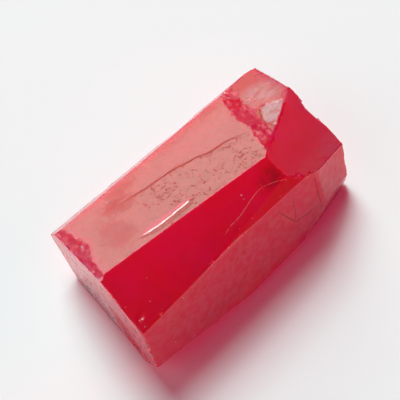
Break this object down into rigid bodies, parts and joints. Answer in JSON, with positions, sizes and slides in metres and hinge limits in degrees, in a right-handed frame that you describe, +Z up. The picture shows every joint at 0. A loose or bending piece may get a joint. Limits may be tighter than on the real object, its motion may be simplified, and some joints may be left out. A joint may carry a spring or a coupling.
{
  "type": "rough ruby crystal",
  "caption": "Rough ruby: a worn prismatic crystal with long flat faces, one flat end and one broken, stepped end, lying on its widest side.",
  "frame": {"origin": "middle of the footprint box, on the surface that the crystal rests on", "axes": "+X along the crystal towards its broken end, +Y towards the back, +Z up from the face it rests on"},
  "size_m": [0.0376, 0.0224, 0.0152],
  "materials": {
    "ruby": "glassy natural crystal faces with fine pits"
  },
  "bodies": {
    "root": {"ruby_crystal": "ruby"}
  },
  "joints": []
}
